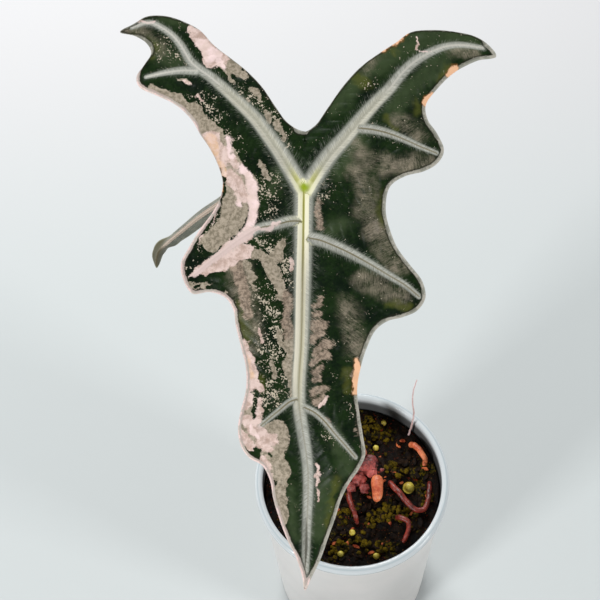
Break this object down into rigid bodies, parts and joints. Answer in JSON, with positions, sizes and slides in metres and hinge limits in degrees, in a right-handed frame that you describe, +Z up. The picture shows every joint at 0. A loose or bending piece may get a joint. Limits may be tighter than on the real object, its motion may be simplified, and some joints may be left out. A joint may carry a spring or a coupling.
{
  "type": "potted variegated alocasia nobilis",
  "caption": "Arrow-leaved aroid house plant, its large blade part pink and part dark green, a folded small leaf behind and roots at the surface, in a translucent plastic cup.",
  "frame": {"origin": "centre of the cup's flat foot disc, where it stands on the table", "axes": "+Z up along the cup's axis, -Y the side the large blade's tip leans to, +X to the right of that view"},
  "size_m": [0.1512, 0.2028, 0.3363],
  "materials": {
    "cup": "translucent milky polypropylene, softly glossy",
    "substrate": "moist dark bark and moss mix",
    "crown": "matte pink-brown living tissue",
    "stalk": "smooth green stalk with pink-brown flecks",
    "blade": "satin dark green leaf with pink and cream variegation",
    "blade_small": "satin grey-green leaf",
    "root": "red-brown root, slightly moist",
    "root_pale": "salmon-coloured root, slightly moist",
    "thread": "dry pinkish root fibre"
  },
  "bodies": {
    "root": {"cup": "cup", "substrate": "substrate", "crown": "crown", "stalk_large": "stalk", "stalk_small": "stalk", "leaf_blade_large": "blade", "leaf_blade_small": "blade_small", "root_stub": "root_pale", "root_right": "root", "root_front": "root", "root_left": "root", "root_wall": "root_pale", "root_thread": "thread"}
  },
  "joints": []
}
